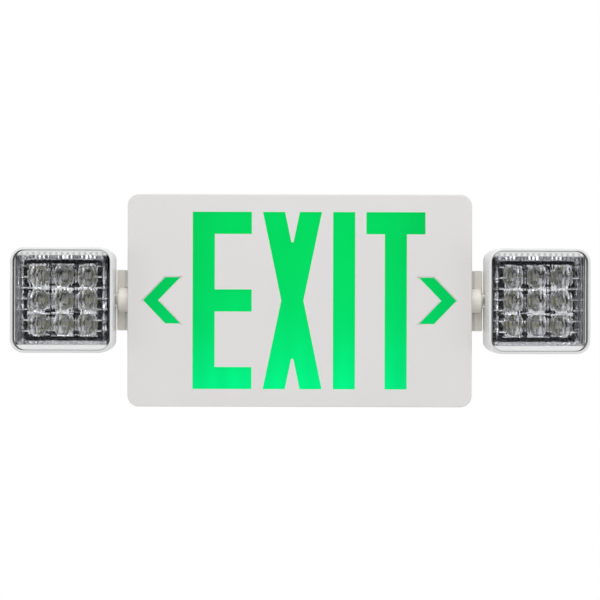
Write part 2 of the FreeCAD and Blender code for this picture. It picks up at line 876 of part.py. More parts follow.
def wave_washer():
    """The washer whose preload makes the tilt joint stiff."""
    x = frame_inside - wave_thick + bearing_gap
    ring = rod_x(clip_radius, x, frame_inside, axis_y, 0)
    return ring.cut(rod_x(tail_radius + bearing_gap, x, frame_inside, axis_y, 0))


# Lamp head, right hand, facing straight ahead

def head_slab(inset, y0, y1):
    corner = head_corner - inset
    return slab(head_width - 2 * inset, head_height - 2 * inset, corner, y0, y1, head_centre)


def lens_slab(inset, y0, y1):
    """As head_slab, but standing back by the release gap on the outer side."""
    return slab(lens_width - 2 * inset, head_height - 2 * inset, head_corner - inset, y0, y1, lens_centre)


def head_form(inset, y0):
    """The head's outer form, or its cavity when inset: a soft-cornered box with its rear edges swept round."""
    half = head_height / 2 - inset
    back = head_back - inset
    left, right = head_inner + inset, head_outer - inset
    side = box(left - 1, right + 1, y0, back, -half, half)
    rear = edges_where(side, Vector(1, 0, 0), lambda point: point.y > back - 1)
    side = side.makeFillet(brow_radius - inset, rear)
    plan = box(left, right, y0, back, -half - 1, half + 1)
    knuckle = edges_where(plan, Vector(0, 0, 1), lambda point: point.y > back - 1 and point.x < pin_x)
    plan = plan.makeFillet(knuckle_radius - inset, knuckle)
    heel = edges_where(plan, Vector(0, 0, 1), lambda point: point.y > back - 1 and point.x > right - 1)
    plan = plan.makeFillet(heel_radius - inset, heel)
    return side.common(plan)


def lamp_shell():
    rim = soften_front(head_slab(0, head_front, head_back), rim_round, head_front)
    outside = rim.common(head_form(0, head_front))
    cavity = head_slab(head_wall, head_front - 1, head_back).common(head_form(head_wall, head_front - 1))
    shell = outside.cut(cavity)
    pieces = [shell, seat_ledge()] + cheeks()
    slot = box(head_inner - 1, pin_x - pin_radius + clip_gap, axis_y - blade_half - slot_side, head_back + 1,
               -cheek_half, cheek_half)
    bore = rod_z(pin_radius + screw_gap, pin_x, axis_y, -cheek_half - cheek_thick, cheek_half + cheek_thick)
    return joined(pieces).cut([slot, bore])


def seat_ledge():
    """The step inside the rim that the lens and the reflector rest on."""
    outer = head_slab(head_wall / 2, seat_y, seat_y + ledge_thick)
    return outer.cut(head_slab(head_wall + ledge_reach, seat_y, seat_y + ledge_thick))


def cheeks():
    """Two shelves above and below the neck's eye, joined to the shell's inner and rear walls."""
    inside = head_form(head_wall / 2, head_front)
    plates = []
    for low, high in ((cheek_half, cheek_half + cheek_thick), (-cheek_half - cheek_thick, -cheek_half)):
        plate = box(head_inner, pin_x + cheek_reach, axis_y - cheek_reach, head_back, low, high)
        plates.append(plate.common(inside))
    return plates


def swivel_pin():
    """A pan-head screw down through both cheeks and the eye."""
    top = cheek_half + cheek_thick
    bottom = -top - nut_height - pin_tail
    head = rod_z(pin_head_radius, pin_x, axis_y, top, top + pin_head_height)
    upper = [edge for edge in head.Edges if edge.BoundBox.ZMin > top + pin_head_height - 1e-6]
    head = head.makeFillet(pin_head_height / 2, upper)
    shank = rod_z(pin_radius, pin_x, axis_y, bottom, top)
    half = pin_radius / 4
    drive = box(pin_x - pin_radius, pin_x + pin_radius, axis_y - half, axis_y + half, top + pin_head_height / 2,
                top + pin_head_height)
    cross = drive.rotated(Vector(pin_x, axis_y, 0), Vector(0, 0, 1), 90)
    return head.fuse(shank).cut([drive, cross])


def swivel_nut():
    top = -cheek_half - cheek_thick
    base = Vector(pin_x, axis_y, top - nut_height)
    arm = Vector(nut_flats / 3 ** 0.5, 0, 0)
    corners = [base + FreeCAD.Rotation(Vector(0, 0, 1), 60 * step).multVec(arm) for step in range(6)]
    nut = Part.Face(Part.makePolygon(corners + corners[:1])).extrude(Vector(0, 0, nut_height))
    return nut.cut(rod_z(pin_radius + bearing_gap, pin_x, axis_y, top - nut_height, top))


def friction_discs():
    """A thin disc under each cheek that the eye drags on."""
    discs = []
    for low, high in ((cheek_half - disc_thick, cheek_half), (-cheek_half, -cheek_half + disc_thick)):
        disc = rod_z(eye_radius, pin_x, axis_y, low, high)
        discs.append(disc.cut(rod_z(pin_radius + screw_gap, pin_x, axis_y, low, high)))
    return Part.makeCompound(discs)


def lamp_lens():
    """A clear cover, smooth outside but for its prism lines and fluted upright inside."""
    outer = soften_front(lens_slab(lens_inset, lens_front, seat_y), lens_skirt / 2, lens_front)
    panel_back = lens_front + lens_panel
    hollow = lens_slab(lens_inset + lens_skirt, panel_back, seat_y)
    inner_half = head_height / 2 - lens_inset - lens_skirt - flute_stop
    flute_y = panel_back + flute_radius - flute_depth
    rods = []
    count = int((lens_half_inside - flute_pitch / 2) / flute_pitch)
    for index in range(-count, count + 1):
        rods.append(rod_z(flute_radius, lens_centre + index * flute_pitch, flute_y, -inner_half, inner_half))
    inside = lens_slab(lens_inset + lens_skirt, panel_back - flute_depth, panel_back + flute_depth)
    flutes = joined(rods).common(inside)
    return outer.cut([hollow, flutes] + prism_grooves())


def prism_grooves():
    """Level V-grooves across the front of the lens."""
    left = lens_centre - lens_half_inside
    groove = Part.Face(Part.makePolygon([
        Vector(left, lens_front - prism_depth, -prism_width),
        Vector(left, lens_front + prism_depth, 0),
        Vector(left, lens_front - prism_depth, prism_width),
        Vector(left, lens_front - prism_depth, -prism_width),
    ])).extrude(Vector(2 * lens_half_inside, 0, 0))
    middle = (prism_count - 1) / 2
    heights = [prism_shift + (index - middle) * prism_pitch for index in range(prism_count)]
    return [groove.translated(Vector(0, 0, height)) for height in heights]


def cup_places():
    middle = (cup_count - 1) / 2
    steps = [(index - middle) * cup_pitch for index in range(cup_count)]
    return [(head_centre + dx, dz) for dz in steps for dx in steps]


def cup(x, z, grow):
    """A bowl about an axis along Y, with a side close to a paraboloid."""
    mouth = cup_mouth + grow
    throat = cup_throat + grow
    half_way = (mouth + throat) / 2
    rise = (half_way ** 2 - throat ** 2) / (mouth ** 2 - throat ** 2) * cup_depth
    low = Vector(x + throat, throat_y, z)
    high = Vector(x + mouth, floor_y, z)
    side = Part.Arc(low, Vector(x + half_way, throat_y - rise, z), high).toShape()
    lid = Part.makePolygon([high, Vector(x, floor_y, z), Vector(x, throat_y, z), low])
    face = Part.Face(Part.Wire([side] + lid.Edges))
    return face.revolve(Vector(x, 0, z), Vector(0, 1, 0), 360)


def lamp_reflector():
    """A plated moulding: a flange on the seat, a sloping surround, a floor, cups and bosses behind."""
    flange = lens_slab(reflector_inset, lip_y, seat_y - reflector_gap)
    tray = head_slab(head_wall + ledge_reach + reflector_gap, lip_y, floor_y + floor_thick)
    cups = [cup(x, z, cup_wall) for x, z in cup_places()]
    bosses = [rod_y(lamp_boss_radius, x, floor_y, throat_y, z) for x, z in lamp_boss_places()]
    depth = lamp_screw_depth
    holes = [rod_y(lamp_screw + screw_gap, x, throat_y - depth, throat_y, z) for x, z in lamp_boss_places()]
    tools = [reflector_pocket()] + [cup(x, z, 0) for x, z in cup_places()] + holes
    return joined([flange, tray] + cups + bosses).cut(tools)


def reflector_pocket():
    """The opening of the surround, wider at the lip than at the floor."""
    near = slab_wire(reflector_inset + pocket_lip, lip_y)
    far = slab_wire(reflector_inset + pocket_lip + pocket_slope, floor_y)
    return Part.makeLoft([near, far], True)


def slab_wire(inset, y):
    """The outline of the head, inset, at a given depth."""
    thin = head_slab(inset, y, y + 1)
    front = [face for face in thin.Faces if abs(face.CenterOfMass.y - y) < 1e-6]
    return front[0].OuterWire


def lamp_boss_places():
    """Four bosses between the cups."""
    reach = cup_pitch / 2
    return [(head_centre + sx * reach, sz * reach) for sx in (-1, 1) for sz in (-1, 1)]


def lamp_board():
    half = cup_pitch * (cup_count - 1) / 2 + cup_mouth + lamp_board_margin
    board = box(head_centre - half, head_centre + half, throat_y, lamp_board_back, -half, half)
    return board.cut([rod_y(lamp_screw + screw_gap, x, throat_y, lamp_board_back, z) for x, z in lamp_boss_places()])


def lamp_diodes():
    """One diode in the throat of each cup."""
    half = diode_side / 2
    diodes = []
    for x, z in cup_places():
        base = box(x - half, x + half, throat_y - diode_height, throat_y, z - half, z + half)
        window = rod_y(window_radius, x, throat_y - diode_height - window_height, throat_y - diode_height, z)
        diodes.append(base.fuse(window))
    return Part.makeCompound(diodes)


def lamp_board_screws():
    screws = []
    for x, z in lamp_boss_places():
        head = rod_y(2 * lamp_screw, x, lamp_board_back, lamp_board_back + lamp_screw, z)
        shank = rod_y(lamp_screw, x, throat_y - lamp_screw_depth + screw_gap, lamp_board_back, z)
        screws.append(head.fuse(shank))
    return Part.makeCompound(screws)


def save_housing():
    save("face_plate", face_plate())
    save("legend_diffuser", legend_diffuser())
    save("light_tray", light_tray())
    save("legend_strip", legend_strip())
    save("legend_chips", legend_chips())
    save("housing_frame", housing_frame())
    save("back_plate", back_plate())


def save_electronics():
    save("main_board", main_board())
    save("board_screws", board_screws())
    save("transformer_core", transformer_core())
    save("transformer_coil", transformer_coil())
    save("capacitors", capacitors())
    save("transfer_relay", transfer_relay())
    save("terminal_block", terminal_block())
    save("battery_pack", battery_pack())
    save("battery_strap", battery_strap())
    save("strap_screws", strap_screws())


def save_controls():
    save("control_board", control_board())
    save("control_screws", control_screws())
    save("test_button", test_button())
    save("switch_plunger", switch_plunger())
    save("test_switch", test_switch())
    save("status_lamp", status_lamp())


def save_sides():
    """Every arm piece on both sides, and every head piece, the right head turned to its rest."""
    arm = {
        "arm_bracket": arm_bracket(),
        "bracket_screws": bracket_screws(),
        "arm_neck": arm_neck(),
        "retaining_clip": retaining_clip(),
        "wave_washer": wave_washer(),
    }
    head = {
        "lamp_shell": lamp_shell(),
        "swivel_pin": swivel_pin(),
        "swivel_nut": swivel_nut(),
        "friction_discs": friction_discs(),
        "lamp_lens": lamp_lens(),
        "lamp_reflector": lamp_reflector(),
        "lamp_board": lamp_board(),
        "lamp_diodes": lamp_diodes(),
        "lamp_board_screws": lamp_board_screws(),
    }
    for name, shape in arm.items():
        save("right_" + name, shape)
        save("left_" + name, mirrored(shape))
    for name, shape in head.items():
        save("right_" + name, turned(shape, right_head_turn))
        save("left_" + name, mirrored(shape))


os.makedirs("parts", exist_ok=True)
save_housing()
save_electronics()
save_controls()
save_sides()
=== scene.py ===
import json
import math

import bpy
import numpy as np
from mathutils import Matrix, Vector


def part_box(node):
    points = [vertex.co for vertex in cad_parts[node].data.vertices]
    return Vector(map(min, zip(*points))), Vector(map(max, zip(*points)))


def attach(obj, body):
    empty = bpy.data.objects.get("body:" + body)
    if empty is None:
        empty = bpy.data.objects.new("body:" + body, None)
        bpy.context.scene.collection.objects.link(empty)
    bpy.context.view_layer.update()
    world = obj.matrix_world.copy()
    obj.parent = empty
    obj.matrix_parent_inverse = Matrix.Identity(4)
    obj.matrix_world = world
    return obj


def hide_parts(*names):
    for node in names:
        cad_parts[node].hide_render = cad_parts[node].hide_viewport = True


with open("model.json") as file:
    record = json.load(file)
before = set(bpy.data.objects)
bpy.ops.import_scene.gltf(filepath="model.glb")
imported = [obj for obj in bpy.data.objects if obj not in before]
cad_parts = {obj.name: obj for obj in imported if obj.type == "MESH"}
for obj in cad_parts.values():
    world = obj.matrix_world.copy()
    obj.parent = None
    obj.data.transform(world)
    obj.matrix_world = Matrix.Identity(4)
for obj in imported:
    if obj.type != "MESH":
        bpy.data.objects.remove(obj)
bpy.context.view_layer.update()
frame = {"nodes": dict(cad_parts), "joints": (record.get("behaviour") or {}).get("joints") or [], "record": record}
nodes = frame["nodes"]
joints = {joint["name"]: joint for joint in frame["joints"]}
scene = bpy.context.scene
print("frame loaded:", len(nodes), "nodes")


# ---- meshes from whole arrays

def meshFromGrids(name, grids, finish, sharpAngle=30.0, marks=None):
    # every grid is rows x columns x 3; neighbouring points make one four-sided face
    # marks name a value for each point, kept as an attribute that the finish reads
    points = []
    faces = []
    start = 0
    for grid in grids:
        rows, columns = grid.shape[:2]
        index = start + np.arange(rows * columns).reshape(rows, columns)
        quads = np.stack([index[:-1, :-1], index[:-1, 1:], index[1:, 1:], index[1:, :-1]], axis=-1)
        points.append(grid.reshape(-1, 3))
        faces.append(quads.reshape(-1, 4))
        start += rows * columns
    points = np.concatenate(points)
    faces = np.concatenate(faces)
    points, faces, kept = mergeDoubles(points, faces)
    mesh = bpy.data.meshes.new(name)
    mesh.from_pydata(points.tolist(), [], [tuple(dict.fromkeys(face)) for face in faces.tolist()])
    for label, values in (marks or {}).items():
        layer = mesh.attributes.new(label, "FLOAT", "POINT")
        allValues = np.concatenate([value.reshape(-1) for value in values])
        layer.data.foreach_set("value", allValues[kept].astype(np.float32))
    mesh.validate()
    mesh.polygons.foreach_set("use_smooth", np.ones(len(mesh.polygons), bool))
    mesh.set_sharp_from_angle(angle=math.radians(sharpAngle))
    mesh.update()
    piece = bpy.data.objects.new(name, mesh)
    scene.collection.objects.link(piece)
    mesh.materials.append(finish)
    return piece


def mergeDoubles(points, faces):
    # points that round to the same thousandth of a millimetre become one, and faces left without area go
    keys = np.round(points * 1e6).astype(np.int64)
    first, back = np.unique(keys, axis=0, return_index=True, return_inverse=True)[1:]
    back = back.reshape(-1)
    faces = back[faces]
    sortedFaces = np.sort(faces, axis=1)
    distinct = 1 + (np.diff(sortedFaces, axis=1) > 0).sum(axis=1)
    return points[first], faces[distinct >= 3], first


# ---- node materials

def newFinish(name):
    finish = bpy.data.materials.new(name)
    finish.use_nodes = True
    tree = finish.node_tree
    tree.nodes.clear()
    output = tree.nodes.new("ShaderNodeOutputMaterial")
    shader = tree.nodes.new("ShaderNodeBsdfPrincipled")
    tree.links.new(shader.outputs["BSDF"], output.inputs["Surface"])
    place = tree.nodes.new("ShaderNodeTexCoord")
    return finish, tree, shader, place.outputs["Object"]


def noiseOf(tree, place, scale, detail=3.0, roughness=0.5):
    noise = tree.nodes.new("ShaderNodeTexNoise")
    noise.inputs["Scale"].default_value = scale
    noise.inputs["Detail"].default_value = detail
    noise.inputs["Roughness"].default_value = roughness
    tree.links.new(place, noise.inputs["Vector"])
    return noise.outputs["Fac"]


def spread(tree, value, fromLow, fromHigh, toLow, toHigh):
    ranger = tree.nodes.new("ShaderNodeMapRange")
    ranger.inputs["From Min"].default_value = fromLow
    ranger.inputs["From Max"].default_value = fromHigh
    ranger.inputs["To Min"].default_value = toLow
    ranger.inputs["To Max"].default_value = toHigh
    tree.links.new(value, ranger.inputs["Value"])
    return ranger.outputs["Result"]


def blendColours(tree, value, first, second):
    mix = tree.nodes.new("ShaderNodeMix")
    mix.data_type = "RGBA"
    for socket, colour in (("A", first), ("B", second)):
        if isinstance(colour, tuple):
            mix.inputs[socket].default_value = (*colour, 1)
        else:
            tree.links.new(colour, mix.inputs[socket])
    tree.links.new(value, mix.inputs["Factor"])
    return mix.outputs["Result"]


def arithmetic(tree, operation, first, second):
    step = tree.nodes.new("ShaderNodeMath")
    step.operation = operation
    for socket, value in zip(step.inputs, (first, second)):
        if isinstance(value, (int, float)):
            socket.default_value = value
        else:
            tree.links.new(value, socket)
    return step.outputs["Value"]


def bumpOf(tree, shader, height, strength, distance):
    bump = tree.nodes.new("ShaderNodeBump")
    bump.inputs["Strength"].default_value = strength
    bump.inputs["Distance"].default_value = distance
    tree.links.new(height, bump.inputs["Height"])
    tree.links.new(bump.outputs["Normal"], shader.inputs["Normal"])
    return bump


def markOf(tree, label):
    mark = tree.nodes.new("ShaderNodeAttribute")
    mark.attribute_name = label
    return mark.outputs["Fac"]


def rougherWhere(tree, rough, mark, level):
    # the pattern's own roughness, or level * mark where that is more
    return arithmetic(tree, "MAXIMUM", rough, arithmetic(tree, "MULTIPLY", mark, level))


def mixShaders(tree, factor, first, second):
    mix = tree.nodes.new("ShaderNodeMixShader")
    tree.links.new(factor, mix.inputs["Fac"])
    tree.links.new(first, mix.inputs[1])
    tree.links.new(second, mix.inputs[2])
    return mix.outputs["Shader"]


def seenDirectly(tree):
    # 1 for what is seen by eye, in a mirror or through a clear part, and 0 for light that falls on things
    rays = tree.nodes.new("ShaderNodeLightPath")
    seen = arithmetic(tree, "MAXIMUM", rays.outputs["Is Camera Ray"], rays.outputs["Is Glossy Ray"])
    return arithmetic(tree, "MAXIMUM", seen, rays.outputs["Is Transmission Ray"])


def mouldedFinish(name, look):
    # colour drifts between two close tones, roughness follows a second pattern, and a fine grain lifts
    # the surface
    finish, tree, shader, place = newFinish(name)
    drift = noiseOf(tree, place, look["driftScale"], 4.0)
    tone = spread(tree, drift, 0.35, 0.65, 0.0, 1.0)
    tree.links.new(blendColours(tree, tone, look["tone"], look["toneTwo"]), shader.inputs["Base Color"])
    grain = noiseOf(tree, place, look["grainScale"], 2.0, 0.6)
    rough = spread(tree, grain, 0.3, 0.7, look["roughLow"], look["roughHigh"])
    tree.links.new(rough, shader.inputs["Roughness"])
    bumpOf(tree, shader, grain, look["grainStrength"], look["grainDepth"])
    shader.inputs["Metallic"].default_value = look.get("metal", 0.0)
    shader.inputs["Specular IOR Level"].default_value = look.get("shine", 0.4)
    shader.inputs["Coat Weight"].default_value = look.get("coat", 0.0)
    return finish


def lighter(colour, factor):
    return tuple(min(1.0, value * factor) for value in colour)


def look(tone, roughLow, roughHigh, change=0.97, **more):
    # change is the second tone's share of the first one's brightness
    settings = {"tone": tone, "toneTwo": lighter(tone, change), "roughLow": roughLow, "roughHigh": roughHigh}
    settings.update(driftScale=14.0, grainScale=1400.0, grainStrength=0.12, grainDepth=0.0003)
    settings.update(more)
    return settings


mouldings = {
    "face": look((0.735, 0.725, 0.725), 0.45, 0.55, change=0.985),
    "housing": look((0.72, 0.705, 0.68), 0.45, 0.55, change=0.985),
    "arm": look((0.88, 0.86, 0.79), 0.38, 0.46, change=0.98),
    "head": look((0.765, 0.768, 0.778), 0.24, 0.32, change=0.97, grainStrength=0.06),
    "tray": look((0.86, 0.86, 0.85), 0.3, 0.38),
    "disc": look((0.035, 0.035, 0.037), 0.55, 0.7, change=1.4),
    "core": look((0.12, 0.12, 0.125), 0.35, 0.55, metal=0.8, change=0.7, grainScale=700.0),
    "winding": look((0.6, 0.38, 0.04), 0.4, 0.5, change=0.85),
    "can": look((0.03, 0.035, 0.07), 0.25, 0.35, change=1.3),
    "relay": look((0.008, 0.008, 0.01), 0.4, 0.5, change=1.6),
    "terminal": look((0.02, 0.1, 0.22), 0.35, 0.45, change=0.85),
    "battery": look((0.01, 0.05, 0.26), 0.25, 0.35, change=0.8),
    "button": look((0.45, 0.01, 0.006), 0.25, 0.35, change=0.85),
    "steel": look((0.56, 0.56, 0.57), 0.22, 0.38, metal=1.0, change=0.85, grainScale=2200.0),
}
finishes = {slot: mouldedFinish(slot + " moulding", settings) for slot, settings in mouldings.items()}


boardLook = {
    "brickScale": 260.0,
    "tone": (0.012, 0.085, 0.035, 1),
    "toneTwo": (0.016, 0.11, 0.045, 1),
    "lineTone": (0.03, 0.16, 0.06, 1),
    "roughScale": 300.0,
    "roughLow": 0.2,
    "roughHigh": 0.35,
    "lineStrength": 0.15,
    "lineDepth": 0.0001,
}


def circuitFinish():
    # green lacquer in a fine brick pattern, with paler lines between
    s = boardLook
    finish, tree, shader, place = newFinish("lacquered board")
    bricks = tree.nodes.new("ShaderNodeTexBrick")
    bricks.inputs["Scale"].default_value = s["brickScale"]
    bricks.inputs["Color1"].default_value = s["tone"]
    bricks.inputs["Color2"].default_value = s["toneTwo"]
    bricks.inputs["Mortar"].default_value = s["lineTone"]
    tree.links.new(place, bricks.inputs["Vector"])
    tree.links.new(bricks.outputs["Color"], shader.inputs["Base Color"])
    rough = noiseOf(tree, place, s["roughScale"])
    tree.links.new(spread(tree, rough, 0.3, 0.7, s["roughLow"], s["roughHigh"]), shader.inputs["Roughness"])
    bumpOf(tree, shader, bricks.outputs["Fac"], s["lineStrength"], s["lineDepth"])
    return finish


phosphorLook = {
    "grainScale": 1500.0,
    "yellow": (0.46, 0.45, 0.01),
    "yellowTwo": (0.58, 0.56, 0.03),
    "ceramic": (0.66, 0.66, 0.64),
    "ceramicTwo": (0.72, 0.72, 0.70),
    "roughLow": 0.08,
    "roughHigh": 0.2,
    "grainStrength": 0.05,
    "grainDepth": 0.0001,
    "coatRough": 0.03,
}


def diodeFinish():
    # pale ceramic, with yellow phosphor where the mark says so
    s = phosphorLook
    finish, tree, shader, place = newFinish("phosphor")
    grain = noiseOf(tree, place, s["grainScale"], 4.0)
    tone = spread(tree, grain, 0.3, 0.7, 0.0, 1.0)
    yellow = blendColours(tree, tone, s["yellow"], s["yellowTwo"])
    ceramic = blendColours(tree, tone, s["ceramic"], s["ceramicTwo"])
    tree.links.new(blendColours(tree, markOf(tree, "phosphor"), ceramic, yellow), shader.inputs["Base Color"])
    tree.links.new(spread(tree, grain, 0.3, 0.7, s["roughLow"], s["roughHigh"]), shader.inputs["Roughness"])
    bumpOf(tree, shader, grain, s["grainStrength"], s["grainDepth"])
    shader.inputs["Coat Weight"].default_value = 1.0
    shader.inputs["Coat Roughness"].default_value = s["coatRough"]
    return finish


resinLook = {
    "swirlScale": 400.0,
    "tone": (0.75, 0.03, 0.02),
    "toneTwo": (0.85, 0.06, 0.04),
    "roughLow": 0.06,
    "roughHigh": 0.14,
    "swirlStrength": 0.03,
    "swirlDepth": 0.0001,
    "clearness": 0.5,
}


def statusFinish():
    # tinted resin with faint swirls
    s = resinLook
    finish, tree, shader, place = newFinish("tinted resin")
    swirl = noiseOf(tree, place, s["swirlScale"], 3.0)
    tone = spread(tree, swirl, 0.3, 0.7, 0.0, 1.0)
    tree.links.new(blendColours(tree, tone, s["tone"], s["toneTwo"]), shader.inputs["Base Color"])
    tree.links.new(spread(tree, swirl, 0.3, 0.7, s["roughLow"], s["roughHigh"]), shader.inputs["Roughness"])
    bumpOf(tree, shader, swirl, s["swirlStrength"], s["swirlDepth"])
    shader.inputs["Transmission Weight"].default_value = s["clearness"]
    return finish


legendLook = {
    "topColour": (0.0, 0.655, 0.108),
    "footColour": (0.0, 0.84, 0.232),
    "climb": 2.6,             # how late the foot's colour comes in
    "endDimming": 0.22,       # how much darker the sheet is at its far left and right
    "dimFrom": 0.06,          # distances from the middle between which it dims
    "dimTo": 0.13,
    "chipPitch": 0.0188,      # spacing of the lamp chips below
    "chipRipple": 0.035,
    "patchScale": 22.0,
    "patchLow": 0.97,
    "patchHigh": 1.03,
    "sheetTop": (0.0, 0.05, 0.012),
    "sheetFoot": (0.0, 0.07, 0.02),
    "grainScale": 1800.0,
    "roughLow": 0.35,
    "roughHigh": 0.45,
    "grainStrength": 0.05,
    "grainDepth": 0.0002,
    "shine": 0.04,
    "top": 0.0762,            # the letters' top and foot
    "foot": -0.0762,
}


def legendFinish():
    # lit from its lower edge: the colour goes from top to foot by (share of the way down) ^ climb;
    # the level is 1 + ripple * cos(x over the chips), dimmed toward both ends and uneven in soft patches
    s = legendLook
    finish, tree, shader, place = newFinish("lit green sheet")
    split = tree.nodes.new("ShaderNodeSeparateXYZ")
    tree.links.new(place, split.inputs["Vector"])
    fall = spread(tree, split.outputs["Z"], s["top"], s["foot"], 0.0, 1.0)
    shaped = arithmetic(tree, "POWER", fall, s["climb"])
    colour = blendColours(tree, shaped, s["topColour"], s["footColour"])
    across = arithmetic(tree, "ABSOLUTE", split.outputs["X"], 0.0)
    ends = spread(tree, across, s["dimFrom"], s["dimTo"], 1.0, 1.0 - s["endDimming"])
    turn = arithmetic(tree, "MULTIPLY", split.outputs["X"], 2 * math.pi / s["chipPitch"])
    wave = arithmetic(tree, "MULTIPLY", arithmetic(tree, "COSINE", turn, 0.0), shaped)
    ripple = arithmetic(tree, "MULTIPLY_ADD", wave, s["chipRipple"])
    ripple.node.inputs[2].default_value = 1.0
    patches = noiseOf(tree, place, s["patchScale"], 2.0)
    patches = spread(tree, patches, 0.3, 0.7, s["patchLow"], s["patchHigh"])
    level = arithmetic(tree, "MULTIPLY", arithmetic(tree, "MULTIPLY", ends, ripple), patches)
    tree.links.new(colour, shader.inputs["Emission Color"])
    tree.links.new(level, shader.inputs["Emission Strength"])
    tree.links.new(blendColours(tree, shaped, s["sheetTop"], s["sheetFoot"]), shader.inputs["Base Color"])
    grain = noiseOf(tree, place, s["grainScale"], 2.0)
    tree.links.new(spread(tree, grain, 0.3, 0.7, s["roughLow"], s["roughHigh"]), shader.inputs["Roughness"])
    bumpOf(tree, shader, grain, s["grainStrength"], s["grainDepth"])
    shader.inputs["Specular IOR Level"].default_value = s["shine"]
    return finish


platingLook = {
    "driftScale": 60.0,
    "tone": (0.84, 0.84, 0.86),
    "toneTwo": (0.68, 0.68, 0.71),
    "roughLow": 0.02,
    "roughHigh": 0.05,
    "dimpleScale": 620.0,
    "dimpleStrength": 0.1,
    "dimpleDepth": 0.0004,
    "bareTone": (0.74, 0.745, 0.75),
    "bareRough": 0.4,
    "bareDimple": 0.05,
}


def platingFinish():
    # vacuum plating over a hammered moulding, left bare where the mark says so
    s = platingLook
    finish, tree, shader, place = newFinish("plating")
    drift = noiseOf(tree, place, s["driftScale"], 3.0)
    tone = spread(tree, drift, 0.35, 0.65, 0.0, 1.0)
    plated = blendColours(tree, tone, s["tone"], s["toneTwo"])
    bare = markOf(tree, "bare")
    tree.links.new(blendColours(tree, bare, plated, s["bareTone"]), shader.inputs["Base Color"])
    dimple = noiseOf(tree, place, s["dimpleScale"], 1.5)
    rough = spread(tree, dimple, 0.3, 0.7, s["roughLow"], s["roughHigh"])
    tree.links.new(rougherWhere(tree, rough, bare, s["bareRough"]), shader.inputs["Roughness"])
    bump = bumpOf(tree, shader, dimple, s["dimpleStrength"], s["dimpleDepth"])
    strength = spread(tree, bare, 0.0, 1.0, s["dimpleStrength"], s["bareDimple"])
    tree.links.new(strength, bump.inputs["Strength"])
    tree.links.new(spread(tree, bare, 0.0, 1.0, 1.0, 0.0), shader.inputs["Metallic"])
    return finish


clearLook = {
    "flowScale": 120.0,
    "tone": (0.97, 0.98, 0.985),
    "toneTwo": (0.985, 0.99, 0.99),
    "roughLow": 0.0,
    "roughHigh": 0.03,
    "pebbleScale": 850.0,
    "pebbleStrength": 0.4,
    "pebbleDepth": 0.0003,
    # the frost tone is partly painted light: the pale of the lit flange behind the cover
    "frostAndLightTone": (0.80, 0.81, 0.82),
    "frostRough": 0.35,
    "index": 1.49,
    "shadowTone": (0.9, 0.9, 0.9, 1),
}


def clearFinish():
    # clear moulding with a trace of flow marks, frosted pale where the mark says so; the frosted pale is partly
    # painted light, standing in for the lit flange behind the cover
    s = clearLook
    finish, tree, shader, place = newFinish("clear moulding")
    flow = noiseOf(tree, place, s["flowScale"], 2.0)
    tone = spread(tree, flow, 0.3, 0.7, 0.0, 1.0)
    clear = blendColours(tree, tone, s["tone"], s["toneTwo"])
    # the frost mark is partly painted light: its pale band stands in for the lit flange behind the clear cover
    frostAndLight = markOf(tree, "frostAndLight")
    tree.links.new(blendColours(tree, frostAndLight, clear, s["frostAndLightTone"]), shader.inputs["Base Color"])
    rough = spread(tree, flow, 0.3, 0.7, s["roughLow"], s["roughHigh"])
    tree.links.new(rougherWhere(tree, rough, frostAndLight, s["frostRough"]), shader.inputs["Roughness"])
    pebble = noiseOf(tree, place, s["pebbleScale"], 1.0)
    bumpOf(tree, shader, pebble, s["pebbleStrength"], s["pebbleDepth"])
    clearness = spread(tree, frostAndLight, 0.0, 1.0, 1.0, 0.0)
    tree.links.new(clearness, shader.inputs["Transmission Weight"])
    shader.inputs["IOR"].default_value = s["index"]
    # lamp light passes straight through the clear part
    rays = tree.nodes.new("ShaderNodeLightPath")
    through = tree.nodes.new("ShaderNodeBsdfTransparent")
    through.inputs["Color"].default_value = s["shadowTone"]
    passing = arithmetic(tree, "MULTIPLY", rays.outputs["Is Shadow Ray"], clearness)
    surface = mixShaders(tree, passing, shader.outputs["BSDF"], through.outputs["BSDF"])
    output = next(node for node in tree.nodes if node.type == "OUTPUT_MATERIAL")
    tree.links.new(surface, output.inputs["Surface"])
    return finish


finishes["circuit"] = circuitFinish()
finishes["diode"] = diodeFinish()
finishes["status"] = statusFinish()
finishes["legend"] = legendFinish()
finishes["reflector"] = platingFinish()
finishes["lens"] = clearFinish()
for part in frame["record"]["subparts"]:
    for slot in nodes[part["node"]].material_slots:
        slot.material = finishes[part["material_slot"]]
print("finishes assigned:", len(finishes))


# ---- the two lamp heads: clear fluted covers and plated reflectors

def placeOnSide(points, side):
    # head pieces are worked out for the right-hand head looking straight ahead, then turned or mirrored
    points = points.copy()
    if side == "left":
        points[..., 0] *= -1
        return points[:, ::-1]
    swivel = joints["right_swivel"]
    turn = math.radians(-swivel["range_deg"][0])
    pinX, pinY = swivel["pos_m"][:2]
    dx = points[..., 0] - pinX
    dy = points[..., 1] - pinY
    points[..., 0] = pinX + dx * math.cos(turn) - dy * math.sin(turn)
    points[..., 1] = pinY + dx * math.sin(turn) + dy * math.cos(turn)
    return points


def markOnSide(mark, side):
    # a mirrored sheet has its columns the other way round, and so have its marks
    return mark[:, ::-1] if side == "left" else mark


def squareLoop(halfWidth, halfHeight, corner, centreX, coreSteps, cornerSteps):
    # columns of a round-cornered square: a straight part, then arcs given by their angle from upright
    core = halfWidth - corner
    straight = np.linspace(-core, core, coreSteps)
    angle = np.linspace(0, math.pi / 2, cornerSteps + 1)[1:]
    coreX = np.concatenate([np.full(cornerSteps, -core), straight, np.full(cornerSteps, core)])
    sine = np.concatenate([-np.sin(angle[::-1]), np.zeros(coreSteps), np.sin(angle)])
    cosine = np.concatenate([np.cos(angle[::-1]), np.ones(coreSteps), np.cos(angle)])
    coreZ = halfHeight - corner
    return {"coreX": coreX + centreX, "coreZ": coreZ, "sine": sine, "cosine": cosine, "corner": corner}


